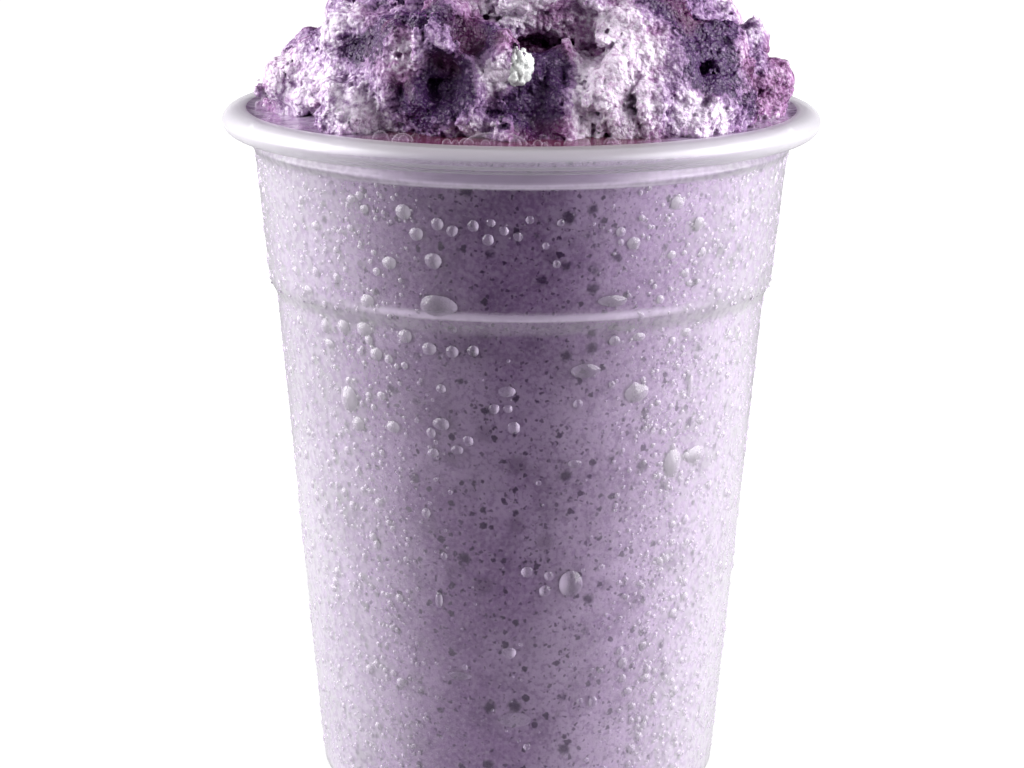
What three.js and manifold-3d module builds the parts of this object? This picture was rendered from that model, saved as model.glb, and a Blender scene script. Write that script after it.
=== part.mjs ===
// A frozen slush drink, heaped over the brim of a clear plastic cold-drink cup.
// Millimetres, +Z up, origin at the centre of the cup's foot. The front of the heap faces -Y.
import * as THREE from "three";
import { mergeVertices } from "three/addons/utils/BufferGeometryUtils.js";
import Module from "manifold-3d";

const wasm = await Module();
wasm.setup();

// The cup's driving sizes.
const RIM_RADIUS = 49;
const CUP_HEIGHT = 112;
const WALL = 0.6;
const NECK_RADIUS = 43.9;
const CURL_HALF_HEIGHT = 2.2;
const CURL_END = -120;
const NECK_HEIGHT = CUP_HEIGHT - 4.6;
const BEAD_HEIGHT = 105.7;
const BEAD_PROUD = 0.35;
const BEAD_RAMP = 0.8;
const BEAD_FLAT = 1;
const SHOULDER_HEIGHT = 83;
const SHOULDER_RADIUS = 41.2;
const SHOULDER_STEP = 0.95;
const SHOULDER_BEND = { below: 2.4, above: 1.4, steps: 4 };
const FOOT_RADIUS = 32.4;
const FOOT_ROUNDING = 3;
const CONTACT_WIDTH = 1.6;
const BASE_RECESS = 2.2;
const RECESS_SLOPE = 1;
const CUP_SIDES = 48;

// The slush, its pool of melt and the lump of ice.
const GAP = 0.3;
const POOL_TOP = CUP_HEIGHT - 0.4;
const POOL_DEPTH = 2.6;
const POOL_STEPS = [1.2, 0.5];
const CUTTER_OVER = 1;
const DOME = { x: 1.5, y: 2, width: 38.5, depth: 39.5, height: 25 };
const FOOT_OF_HEAP = 40;
const FOOT_WAVES = [
  { swing: 0.8, round: 3, shift: 1 },
  { swing: 0.5, round: 7, shift: 0 },
];
const OPEN_POOL = { turn: 204, spread: 15, depth: 5 };
const HEAP_RINGS = 30;
const HEAP_LIMIT = 43.6;
const HEAP_FLARE = { slope: 0.5, from: 1, to: 5 };
const HEAP_ROOT = 5;
const LOWEST_RISE = 0.35;
const FARTHEST = 56;
const MARCH = 0.6;
const CLUMP_BLEND = 2.5;
const HOLLOW_BLEND = 1.5;
const BACK_CLUMPS = 11;

// Clumps that the heap is piled from: centre in x, y and height over the rim, then radius.
const CLUMPS = {
  left_foot: [-33.5, -6, 2.5, 8.3],
  left_shoulder: [-28.5, -11, 8.5, 7.5],
  left_leg: [-27, -27, 3, 6],
  left_slope: [-21, -17.5, 10.5, 8.5],
  left_crown: [-17, -8, 18, 11.5],
  spongy_slope: [-20, -19, 9, 11],
  ball: [-11.5, -26, 8, 11.5],
  ball_brow: [-15, -31.5, 15, 4.8],
  ball_cheek: [-4, -32, 10, 5],
  ball_side: [-19, -30, 9, 4],
  brow_left: [1.5, -23, 22, 7.4],
  brow_right: [9.5, -22.5, 21.5, 6.4],
  middle_foot: [3, -29, 0, 10],
  right_ridge: [17, -20, 14, 10.5],
  right_ridge_top: [14, -14, 21, 10],
  right_front_foot: [20, -25, 4, 11.5],
  pink_lump: [11.5, -30.5, 9.5, 4.2],
  right_low: [28, -21, 2, 9.5],
  grain_lump: [27.5, -16, 7.5, 8.6],
  right_edge: [37, -4, 3, 7.8],
  right_crown: [19, 1, 14.5, 11.5],
  peak: [-2, 3, 20, 17],
};

// Clumps round the back stand in two staggered rows, with a little chance in their height and radius.
const LOW_ROW = { reach: 30.5, z: 1, radius: 8.8 };
const HIGH_ROW = { reach: 23, z: 12, radius: 10.2 };
const ROW_CHANCE = 2;
const ROW_TURNS = [2, 178];

// Hollows between the clumps: centre as above, then the half lengths along x, y and z.
const HOLLOWS = {
  deep_gap: [1.8, -30, 13.8, 5.4, 6.5, 1.7],
  second_gap: [11.2, -31, 13.2, 1.5, 4, 1.6],
  trench: [3.2, -41, 6, 5, 5.5, 7],
  ball_bowl: [-13, -40, 8.4, 5.8, 6, 5.8],
  smooth_pit: [-27.3, -28, 12.6, 2.2, 3, 3.2],
  open_pool: [-36, -21, -1, 8.5, 7.5, 4.5],
  foot_cave: [-30.5, -22, 2.2, 1.6, 3, 1.1],
  crevice: [16.5, -38, 4.5, 0.8, 3, 3.6],
  purple_bay: [26, -17, 18.5, 6, 5, 3.2],
  grain_hollow: [28, -26, 8.5, 3.4, 1.6, 2.6],
  edge_slot: [37, -15.5, 7, 1.6, 4, 5],
  right_slope: [43, -5, 14.5, 5, 10, 5],
};

// Round crags: wavelength and height. The broad ones lie on the clumps only, the small ones in the hollows as well.
const BROAD_CRAGS = [9, 1.7];
const SMALL_CRAGS = [4.6, 1];
const CRAG_SHIFT = 17.3;

const ICE_PLACE = [-0.7, -35.2, CUP_HEIGHT + 11];
const ICE_HALF = [2.6, 2.6, 3.3];
const ICE_KNOBS = { least: 0.8, swing: 0.4, perRadius: 2.1, shift: 9 };

// Radius of the cup's outside at a height, below the curl.
function outsideRadius(z) {
  const belowStep = SHOULDER_RADIUS - SHOULDER_STEP;
  if (z < SHOULDER_HEIGHT) {
    const up = (z - FOOT_ROUNDING) / (SHOULDER_HEIGHT - FOOT_ROUNDING);
    return THREE.MathUtils.lerp(FOOT_RADIUS, belowStep, up);
  }
  const up = (z - SHOULDER_HEIGHT) / (NECK_HEIGHT - SHOULDER_HEIGHT);
  return Math.min(NECK_RADIUS, THREE.MathUtils.lerp(SHOULDER_RADIUS, NECK_RADIUS, up));
}

// Points along part of an ellipse, from one angle to another in degrees.
function arc(centreR, centreZ, halfWidth, halfHeight, from, to, steps) {
  return Array.from({ length: steps + 1 }, (_, i) => {
    const a = THREE.MathUtils.degToRad(from + ((to - from) * i) / steps);
    return new THREE.Vector2(centreR + halfWidth * Math.cos(a), centreZ + halfHeight * Math.sin(a));
  });
}

const at = (r, z) => new THREE.Vector2(r, z);

// A profile turned about the cup's upright axis.
function turned(profile) {
  return new THREE.LatheGeometry(profile, CUP_SIDES).rotateX(Math.PI / 2);
}

// The wall's line from the foot to the neck, moved inwards: 0 gives the outside, WALL the inside.
function wallLine(inwards) {
  const foot = FOOT_RADIUS - FOOT_ROUNDING;
  const rounding = FOOT_ROUNDING - inwards;
  const r = (z) => outsideRadius(z) - inwards;
  const { below, above, steps } = SHOULDER_BEND;
  const low = at(r(SHOULDER_HEIGHT - below), SHOULDER_HEIGHT - below);
  const high = at(r(SHOULDER_HEIGHT + above), SHOULDER_HEIGHT + above);
  const bend = Array.from({ length: steps + 1 }, (_, i) => {
    const swing = THREE.MathUtils.smoothstep(i / steps, 0, 1);
    return at(low.x + (high.x - low.x) * swing, low.y + ((high.y - low.y) * i) / steps);
  });
  return [
    ...arc(foot, FOOT_ROUNDING, rounding, rounding, -75, 0, 3),
    ...bend,
    at(r(BEAD_HEIGHT - BEAD_RAMP), BEAD_HEIGHT - BEAD_RAMP),
    at(r(BEAD_HEIGHT) + BEAD_PROUD, BEAD_HEIGHT),
    at(r(BEAD_HEIGHT + BEAD_FLAT) + BEAD_PROUD, BEAD_HEIGHT + BEAD_FLAT),
    at(NECK_RADIUS - inwards, NECK_HEIGHT),
  ];
}

// Thin-walled cup: recessed base, tapered wall with a stacking shoulder and a bead, and a curled rim.
function makeCup() {
  const contact = FOOT_RADIUS - FOOT_ROUNDING;
  const curlR = (RIM_RADIUS + NECK_RADIUS - WALL) / 2;
  const curlZ = CUP_HEIGHT - CURL_HALF_HEIGHT;
  const curlHalf = RIM_RADIUS - curlR;
  const profile = [
    at(0, BASE_RECESS),
    at(contact - CONTACT_WIDTH - RECESS_SLOPE, BASE_RECESS),
    at(contact - CONTACT_WIDTH, 0),
    at(contact, 0),
    ...wallLine(0),
    ...arc(curlR, curlZ, curlHalf - WALL, CURL_HALF_HEIGHT - WALL, 180, CURL_END, 10),
    ...arc(curlR, curlZ, curlHalf, CURL_HALF_HEIGHT, CURL_END, 180, 10),
    ...wallLine(WALL).reverse(),
    at(contact - CONTACT_WIDTH - 2 * RECESS_SLOPE, BASE_RECESS + WALL),
    at(0, BASE_RECESS + WALL),
  ];
  return turned(profile);
}

// Random number from 0 to 1 that belongs to a lattice point.
function latticeValue(x, y, z) {
  let h = Math.imul(x, 374761393) ^ Math.imul(y, 668265263) ^ Math.imul(z, 1440670441);
  h = Math.imul(h ^ (h >>> 13), 1274126177);
  return ((h ^ (h >>> 16)) >>> 0) / 4294967296;
}

// Smooth noise from 0 to 1 that passes through the lattice values.
function smoothNoise(x, y, z) {
  const [ix, iy, iz] = [Math.floor(x), Math.floor(y), Math.floor(z)];
  const fade = (t) => t * t * t * (t * (t * 6 - 15) + 10);
  const [fx, fy, fz] = [fade(x - ix), fade(y - iy), fade(z - iz)];
  const mix = THREE.MathUtils.lerp;
  const edge = (j, k) => mix(latticeValue(ix, iy + j, iz + k), latticeValue(ix + 1, iy + j, iz + k), fx);
  return mix(mix(edge(0, 0), edge(1, 0), fy), mix(edge(0, 1), edge(1, 1), fy), fz);
}

// Round bumps with sharp creases between them.
function cragHeight([wavelength, height], shift, x, y, z) {
  const n = smoothNoise(x / wavelength + shift, y / wavelength + shift, z / wavelength + shift);
  return height * (Math.abs(2 * n - 1) * 2 - 0.5);
}

function smoothLeast(a, b, blend) {
  const h = THREE.MathUtils.clamp(0.5 + (0.5 * (b - a)) / blend, 0, 1);
  return THREE.MathUtils.lerp(b, a, h) - blend * h * (1 - h);
}

// Clumps where the front's named ones don't reach.
function backClumps() {
  return Array.from({ length: BACK_CLUMPS }, (_, i) => {
    const turn = THREE.MathUtils.degToRad(THREE.MathUtils.lerp(...ROW_TURNS, (i + 0.5) / BACK_CLUMPS));
    const row = i % 2 ? HIGH_ROW : LOW_ROW;
    return [
      row.reach * Math.cos(turn),
      row.reach * Math.sin(turn),
      row.z + ROW_CHANCE * latticeValue(i, 3, 0),
      row.radius + ROW_CHANCE * latticeValue(i, 5, 0),
    ];
  });
}

const allClumps = [...Object.values(CLUMPS), ...backClumps()];

// Distance to the heap's surface, less than 0 inside. Height is measured from the rim.
function heapDistance(x, y, z) {
  const [across, back, up] = [(x - DOME.x) / DOME.width, (y - DOME.y) / DOME.depth, z / DOME.height];
  let d = (Math.hypot(across, back, up) - 1) * DOME.height;
  for (const [cx, cy, cz, radius] of allClumps) {
    d = smoothLeast(d, Math.hypot(x - cx, y - cy, z - cz) - radius, CLUMP_BLEND);
  }
  d -= cragHeight(BROAD_CRAGS, CRAG_SHIFT, x, y, z);
  for (const [cx, cy, cz, a, b, c] of Object.values(HOLLOWS)) {
    const inside = (1 - Math.hypot((x - cx) / a, (y - cy) / b, (z - cz) / c)) * Math.min(a, b, c);
    d = -smoothLeast(-d, -inside, HOLLOW_BLEND);
  }
  return d - cragHeight(SMALL_CRAGS, 2 * CRAG_SHIFT, x, y, z);
}

// Radius of the heap's foot where it stands in the melt. The pool is widest at the front left.
function footRadius(turn) {
  const away = (THREE.MathUtils.radToDeg(turn) - OPEN_POOL.turn) / OPEN_POOL.spread;
  const bay = OPEN_POOL.depth * Math.exp(-away * away);
  const wavy = FOOT_WAVES.reduce((sum, w) => sum + w.swing * Math.sin(w.round * turn + w.shift), 0);
  return FOOT_OF_HEAP + wavy - bay;
}

// Outermost point of the heap along a ray from the middle of the brim.
function heapReach(direction) {
  const distanceAt = (r) => heapDistance(direction.x * r, direction.y * r, direction.z * r);
  let outer = FARTHEST;
  while (distanceAt(outer) > 0) outer -= MARCH;
  let inner = outer;
  outer += MARCH;
  for (let i = 0; i < 8; i++) {
    const middle = (inner + outer) / 2;
    if (distanceAt(middle) > 0) outer = middle;
    else inner = middle;
  }
  return inner;
}

// Heap as rings of 6, 12, 18 ... points from its top down to its foot, closed by a wall and a floor.
function makeHeap() {
  const points = [];
  const ringStart = [];
  for (let ring = 0; ring <= HEAP_RINGS; ring++) {
    ringStart.push(points.length);
    const count = Math.max(1, 6 * ring);
    const rise = ((1 - ring / HEAP_RINGS) * Math.PI) / 2;
    for (let i = 0; i < count; i++) {
      const turn = (2 * Math.PI * i) / count;
      if (ring === HEAP_RINGS) {
        const r = footRadius(turn);
        points.push(new THREE.Vector3(r * Math.cos(turn), r * Math.sin(turn), POOL_TOP + GAP));
        continue;
      }
      const ray = new THREE.Vector3(
        Math.cos(turn) * Math.cos(rise),
        Math.sin(turn) * Math.cos(rise),
        Math.sin(rise),
      );
      const p = ray.multiplyScalar(heapReach(ray));
      const flared = THREE.MathUtils.clamp(p.z, HEAP_FLARE.from, HEAP_FLARE.to) - HEAP_FLARE.from;
      const widest = HEAP_LIMIT + HEAP_FLARE.slope * flared;
      const shrink = Math.min(1, widest / Math.max(Math.hypot(p.x, p.y), 1e-6));
      points.push(new THREE.Vector3(p.x * shrink, p.y * shrink, CUP_HEIGHT + Math.max(p.z, LOWEST_RISE)));
    }
  }
  const footCount = 6 * HEAP_RINGS;
  const wallStart = points.length;
  for (let i = 0; i < footCount; i++) {
    const top = points[ringStart[HEAP_RINGS] + i];
    points.push(new THREE.Vector3(top.x, top.y, POOL_TOP - POOL_DEPTH - HEAP_ROOT));
  }
  const floorCentre = points.length;
  points.push(new THREE.Vector3(0, 0, POOL_TOP - POOL_DEPTH - HEAP_ROOT));

  const faces = [];
  for (let ring = 0; ring < HEAP_RINGS; ring++) {
    const upper = Math.max(1, 6 * ring);
    const lower = 6 * (ring + 1);
    for (let sector = 0; sector < 6; sector++) {
      for (let i = 0; i <= ring; i++) {
        const a = ringStart[ring] + ((sector * ring + i) % upper);
        const b = ringStart[ring + 1] + ((sector * (ring + 1) + i) % lower);
        const c = ringStart[ring + 1] + ((sector * (ring + 1) + i + 1) % lower);
        faces.push(a, b, c);
        if (i < ring) faces.push(a, c, ringStart[ring] + ((sector * ring + i + 1) % upper));
      }
    }
  }
  for (let i = 0; i < footCount; i++) {
    const next = (i + 1) % footCount;
    const [top, topNext] = [ringStart[HEAP_RINGS] + i, ringStart[HEAP_RINGS] + next];
    faces.push(top, wallStart + i, wallStart + next, top, wallStart + next, topNext);
    faces.push(floorCentre, wallStart + next, wallStart + i);
  }
  const geometry = new THREE.BufferGeometry().setFromPoints(points);
  geometry.setIndex(faces);
  return geometry;
}

// Slush inside the cup, from the floor up to the ledge that the melt lies on.
function makeFill() {
  const inner = WALL + GAP;
  const top = POOL_TOP - POOL_DEPTH - GAP;
  const contact = FOOT_RADIUS - FOOT_ROUNDING;
  const profile = [
    at(0, BASE_RECESS + inner),
    at(contact - CONTACT_WIDTH - 2 * RECESS_SLOPE, BASE_RECESS + inner),
    ...wallLine(inner),
    at(NECK_RADIUS - inner, top),
    at(0, top),
  ];
  return turned(profile);
}

// Ring of melt between the heap's foot and the curl of the rim, as a disc before the foot is cut out.
function makePoolDisc() {
  const curlR = (RIM_RADIUS + NECK_RADIUS - WALL) / 2;
  const curlZ = CUP_HEIGHT - CURL_HALF_HEIGHT;
  const reach = (z) => {
    const up = Math.max(0, z - curlZ) / CURL_HALF_HEIGHT;
    return curlR - (RIM_RADIUS - curlR) * Math.sqrt(1 - up * up) - GAP;
  };
  const bottom = POOL_TOP - POOL_DEPTH;
  const heights = [bottom, ...POOL_STEPS.map((below) => POOL_TOP - below), POOL_TOP];
  const profile = [at(0, bottom), ...heights.map((z) => at(reach(z), z)), at(0, POOL_TOP)];
  return turned(profile);
}

// Prism of the heap's foot and the gap round it, to cut out of the melt.
function makeFootCutter() {
  const count = 6 * HEAP_RINGS;
  const outline = Array.from({ length: count }, (_, i) => {
    const turn = (2 * Math.PI * i) / count;
    const r = footRadius(turn) + GAP;
    return at(r * Math.cos(turn), r * Math.sin(turn));
  });
  const depth = POOL_DEPTH + 2 * CUTTER_OVER;
  const prism = new THREE.ExtrudeGeometry(new THREE.Shape(outline), { depth, bevelEnabled: false });
  return prism.translate(0, 0, POOL_TOP - POOL_DEPTH - CUTTER_OVER);
}

// Knobbly lump of clear ice, made larger by a margin for its pocket in the slush.
function makeIce(margin) {
  const { least, swing, perRadius, shift } = ICE_KNOBS;
  const lump = new THREE.IcosahedronGeometry(1, 1);
  const position = lump.getAttribute("position");
  const p = new THREE.Vector3();
  for (let i = 0; i < position.count; i++) {
    p.fromBufferAttribute(position, i);
    const place = p.clone().multiplyScalar(perRadius).addScalar(shift);
    const swell = least + swing * smoothNoise(place.x, place.y, place.z);
    const [a, b, c] = ICE_HALF.map((half) => half * swell + margin);
    position.setXYZ(i, p.x * a, p.y * b, p.z * c);
  }
  return lump.translate(...ICE_PLACE);
}

// Closed three.js geometry as a manifold solid.
function solidOf(geometry) {
  const bare = geometry.clone();
  bare.deleteAttribute("normal");
  bare.deleteAttribute("uv");
  const merged = mergeVertices(bare, 1e-3);
  const vertProperties = merged.getAttribute("position").array;
  const triVerts = new Uint32Array(merged.index.array);
  return new wasm.Manifold(new wasm.Mesh({ numProp: 3, vertProperties, triVerts }));
}

// Manifold solid as a three.js geometry, its largest body alone.
function geometryOf(solid) {
  const [largest] = solid.decompose().sort((a, b) => b.volume() - a.volume());
  const mesh = largest.getMesh();
  const geometry = new THREE.BufferGeometry();
  geometry.setAttribute("position", new THREE.BufferAttribute(mesh.vertProperties, 3));
  geometry.setIndex(new THREE.BufferAttribute(mesh.triVerts, 1));
  return geometry;
}

function makeSlush() {
  const pocket = solidOf(makeIce(GAP));
  return geometryOf(solidOf(makeFill()).add(solidOf(makeHeap())).subtract(pocket));
}

function makeMelt() {
  return geometryOf(solidOf(makePoolDisc()).subtract(solidOf(makeFootCutter())));
}

const clearPlastic = new THREE.MeshStandardMaterial({ color: 0xe9e6ee, roughness: 0.12, metalness: 0 });
const purpleSlush = new THREE.MeshStandardMaterial({ color: 0xa58bb0, roughness: 0.6, metalness: 0 });
const wetMelt = new THREE.MeshStandardMaterial({ color: 0x7d4a7c, roughness: 0.15, metalness: 0 });
const clearIce = new THREE.MeshStandardMaterial({ color: 0xd6e0dc, roughness: 0.1, metalness: 0 });

function named(name, geometry, material) {
  const mesh = new THREE.Mesh(geometry, material);
  mesh.name = name;
  return mesh;
}

const drink = new THREE.Group();
drink.add(
  named("cup", makeCup(), clearPlastic),
  named("slush", makeSlush(), purpleSlush),
  named("melt", makeMelt(), wetMelt),
  named("ice_lump", makeIce(0), clearIce),
);
export default drink;
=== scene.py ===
import math

import bmesh
import bpy
import numpy as np
from mathutils import Matrix, Vector


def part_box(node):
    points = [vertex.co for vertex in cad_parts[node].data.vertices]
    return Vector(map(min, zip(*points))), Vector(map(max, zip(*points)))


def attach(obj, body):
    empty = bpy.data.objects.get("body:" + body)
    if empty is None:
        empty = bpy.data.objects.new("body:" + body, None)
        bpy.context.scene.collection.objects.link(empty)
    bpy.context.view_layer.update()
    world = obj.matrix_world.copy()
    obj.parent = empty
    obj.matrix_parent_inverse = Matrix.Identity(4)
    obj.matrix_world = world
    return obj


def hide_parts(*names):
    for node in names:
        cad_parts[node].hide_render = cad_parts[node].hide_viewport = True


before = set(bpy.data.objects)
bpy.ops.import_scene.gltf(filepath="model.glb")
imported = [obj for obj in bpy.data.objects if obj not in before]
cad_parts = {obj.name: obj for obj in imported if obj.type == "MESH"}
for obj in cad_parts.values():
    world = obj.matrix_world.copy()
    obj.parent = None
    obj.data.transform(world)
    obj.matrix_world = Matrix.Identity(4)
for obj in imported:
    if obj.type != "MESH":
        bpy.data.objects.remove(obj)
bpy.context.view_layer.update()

# Sizes of the drink are in millimetres. Those of the studio, and places in a material, are in metres.
MM = 0.001
RIM_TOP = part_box("cup")[1][2] / MM

# Camera: in front of the drink and a little above it, so that the brim is a flat ellipse. The picture cuts
# off the top of the heap and ends at the cup's foot. The cup stands a hair off upright in the picture.
PICTURE_WIDTH = 1024
PICTURE_HEIGHT = 768
CAMERA_DISTANCE = 780
CAMERA_PITCH = math.radians(11.37)
CAMERA_ROLL = math.radians(0.333)
AIM_BELOW_RIM = 46.6
LENS = 165.4
SENSOR = 36
AXIS_RIGHT_OF_CENTRE = 7.8 / PICTURE_WIDTH
FARTHEST_SEEN = 50

camera_data = bpy.data.cameras.new("camera")
camera_data.lens = LENS
camera_data.sensor_width = SENSOR
camera_data.shift_x = -AXIS_RIGHT_OF_CENTRE
camera_data.clip_end = FARTHEST_SEEN
camera = bpy.data.objects.new("camera", camera_data)
bpy.context.scene.collection.objects.link(camera)
aim = Vector((0, 0, RIM_TOP - AIM_BELOW_RIM)) * MM
outwards = Vector((0, -math.cos(CAMERA_PITCH), math.sin(CAMERA_PITCH)))
camera.matrix_world = (
    Matrix.Translation(aim + outwards * CAMERA_DISTANCE * MM)
    @ outwards.to_track_quat("Z", "Y").to_matrix().to_4x4()
    @ Matrix.Rotation(CAMERA_ROLL, 4, "Z")
)
bpy.context.scene.camera = camera
bpy.context.scene.view_settings.view_transform = "Standard"


# Studio: a pale glowing floor that washes out to white, a large softbox on each side of the drink, and
# little light from the front, so that the flanks are bright and the middle is dark.
class Wire:
    """A socket among a material's nodes. Arithmetic on it adds Math nodes, and node() adds any other."""

    def __init__(self, tree, socket=None):
        self.tree = tree
        self.socket = socket

    def node(self, kind, settings=(), inputs=(), output=0):
        """A new node with these settings, its inputs linked or set, as a wire from one of its outputs."""
        made = self.tree.nodes.new("ShaderNode" + kind)
        for name, value in dict(settings).items():
            setattr(made, name, value)
        for name, value in dict(inputs).items():
            if isinstance(value, Wire):
                self.tree.links.new(value.socket, made.inputs[name])
            else:
                made.inputs[name].default_value = value
        return Wire(self.tree, made.outputs[output])

    def maths(self, operation, *values):
        return self.node("Math", {"operation": operation}, enumerate(values))

    def __add__(self, other):
        return self.maths("ADD", self, other)

    def __sub__(self, other):
        return self.maths("SUBTRACT", self, other)

    def __rsub__(self, other):
        return self.maths("SUBTRACT", other, self)

    def __mul__(self, other):
        return self.maths("MULTIPLY", self, other)

    def __pow__(self, other):
        return self.maths("POWER", self, other)

    __radd__ = __add__
    __rmul__ = __mul__

    def least(self, other):
        return self.maths("MINIMUM", self, other)

    def most(self, other):
        return self.maths("MAXIMUM", self, other)

    def rise(self, low, high):
        """0 below low and 1 above high, with a smooth rise between. It falls where high is the lower."""
        reach = {"From Min": low, "From Max": high, "Value": self}
        return self.node("MapRange", {"interpolation_type": "SMOOTHSTEP"}, reach)

    def tint(self, low, high):
        """The colour low where this is 0 and high where it is 1."""
        return self.node("Mix", {"data_type": "RGBA"}, {0: self, 6: low, 7: high}, output=2)


def colour(red, green, blue):
    return (red, green, blue, 1)


WHITE = colour(1, 1, 1)


def new_finish(name):
    """An empty material, the wire to build it with, and the socket of its surface."""
    material = bpy.data.materials.new(name)
    material.use_nodes = True
    material.node_tree.nodes.clear()
    output = material.node_tree.nodes.new("ShaderNodeOutputMaterial")
    return material, Wire(material.node_tree), output.inputs["Surface"]


FLOOR_GREY = colour(0.26, 0.26, 0.26)
FLOOR_SIZE = 12
SHEET_SIZE = 0.42
SHEET_RISE = 0.0001
SHEET_GLOW = 0.16
FLOOR_GLOW = 1
SOFTBOX_TURNS = (-91, 79)
SOFTBOX_DISTANCE = 0.62
SOFTBOX_WIDTH = 0.8
SOFTBOX_HEIGHT = 0.8
SOFTBOX_CENTRE = 0.3
SOFTBOX_AIM = 0.6
SOFTBOX_POWER = 15
ROOM_LIGHT = 0.046


def add_floor(name, size, height, glow):
    finish, w, surface = new_finish(name)
    paint = {
        "Base Color": FLOOR_GREY,
        "Roughness": 0.9,
        "Emission Color": WHITE,
        "Emission Strength": glow,
    }
    w.tree.links.new(w.node("BsdfPrincipled", {}, paint).socket, surface)
    half = size / 2
    mesh = bpy.data.meshes.new(name)
    corners = [(x * half, y * half, height) for x, y in ((-1, -1), (1, -1), (1, 1), (-1, 1))]
    mesh.from_pydata(corners, [], [(0, 1, 2, 3)])
    mesh.materials.append(finish)
    made = bpy.data.objects.new(name, mesh)
    bpy.context.scene.collection.objects.link(made)
    return made


# The small sheet that the cup stands on throws light back at it, and the camera sees only the white floor.
sheet = add_floor("sheet", SHEET_SIZE, -SHEET_RISE, SHEET_GLOW)
sheet.visible_camera = False
floor = add_floor("floor", FLOOR_SIZE, -2 * SHEET_RISE, FLOOR_GLOW)
floor.visible_diffuse = False
floor.visible_glossy = False

for turn in map(math.radians, SOFTBOX_TURNS):
    softbox_data = bpy.data.lights.new("softbox", "AREA")
    softbox_data.shape = "RECTANGLE"
    softbox_data.size = SOFTBOX_WIDTH
    softbox_data.size_y = SOFTBOX_HEIGHT
    softbox_data.energy = SOFTBOX_POWER
    softbox = bpy.data.objects.new("softbox", softbox_data)
    place = Vector((math.sin(turn), -math.cos(turn), 0)) * SOFTBOX_DISTANCE
    place += Vector((0, 0, SOFTBOX_CENTRE))
    towards = place - Vector((0, 0, RIM_TOP * MM * SOFTBOX_AIM))
    softbox.matrix_world = Matrix.Translation(place) @ towards.to_track_quat("Z", "Y").to_matrix().to_4x4()
    softbox.visible_camera = False
    bpy.context.scene.collection.objects.link(softbox)

# The camera sees a white room, which lights the drink only a little.
room = bpy.data.worlds.new("room")
room.use_nodes = True
bpy.context.scene.world = room
w = Wire(room.node_tree)
seen = w.node("LightPath", output=0)
room_light = seen * (1 - ROOM_LIGHT) + ROOM_LIGHT
w.tree.links.new(room_light.socket, room.node_tree.nodes["Background"].inputs["Strength"])
room.node_tree.nodes["Background"].inputs["Color"].default_value = WHITE


# Cup: clear thermoformed plastic, drawn in one piece from the recessed foot up a tapered wall with a
# stacking shoulder and a small bead to a rim that is curled outwards. The cold has fogged its outside.
RIM_RADIUS = 49
WALL = 0.6
NECK_RADIUS = 43.9
NECK_BELOW_CURL = 0.2
CURL_HALF_HEIGHT = 2.2
CURL_END = -120
CURL_STEPS = 40
BEAD_BELOW_RIM = 6.3
BEAD_PROUD = 0.35
BEAD_SPAN = 2.2
BEAD_START = 1
BEAD_STEPS = 9
SHOULDER_BELOW_RIM = 29
SHOULDER_RADIUS = 41.2
SHOULDER_STEP = 0.95
SHOULDER_BEND = (2.4, 1.4)
SHOULDER_STEPS = 13
SHARP_STEP = 0.001
FOOT_RADIUS = 32.4
FOOT_ROUNDING = 3
FOOT_TURN = (-88, 0)
FOOT_STEPS = 10
# The wall's two straight stretches keep clear of the foot, the shoulder and the bead.
ABOVE_FOOT = 8
BELOW_SHOULDER = 4
ABOVE_SHOULDER = 2
BELOW_BEAD = 1.4
LOWER_WALL_STEPS = 8
UPPER_WALL_STEPS = 6
CONTACT_WIDTH = 1.6
BASE_RECESS = 2.2
RECESS_FLARE = 1.2
RECESS_FILLET = 0.4
RECESS_EDGE = 0.3
SHORT_OF_FLOOR = 0.05
CONTACT_BEVEL = 0.2
CUP_SIDES = 240
shoulder_height = RIM_TOP - SHOULDER_BELOW_RIM
bead_height = RIM_TOP - BEAD_BELOW_RIM
neck_height = RIM_TOP - 2 * CURL_HALF_HEIGHT - NECK_BELOW_CURL
curl_centre = (RIM_RADIUS + NECK_RADIUS - WALL) / 2
curl_half = RIM_RADIUS - curl_centre


def wall_radius(height):
    """Radius of the cup's outside at a height, below the curl. The shoulder is a sharp step here."""
    heights = [FOOT_ROUNDING, shoulder_height, shoulder_height + SHARP_STEP, neck_height]
    radii = [FOOT_RADIUS, SHOULDER_RADIUS - SHOULDER_STEP, SHOULDER_RADIUS, NECK_RADIUS]
    return np.interp(height, heights, radii)


def arc(centre, half_width, half_height, start, end, steps):
    angles = np.radians(np.linspace(start, end, steps + 1))
    return [(centre[0] + half_width * math.cos(a), centre[1] + half_height * math.sin(a)) for a in angles]


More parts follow.
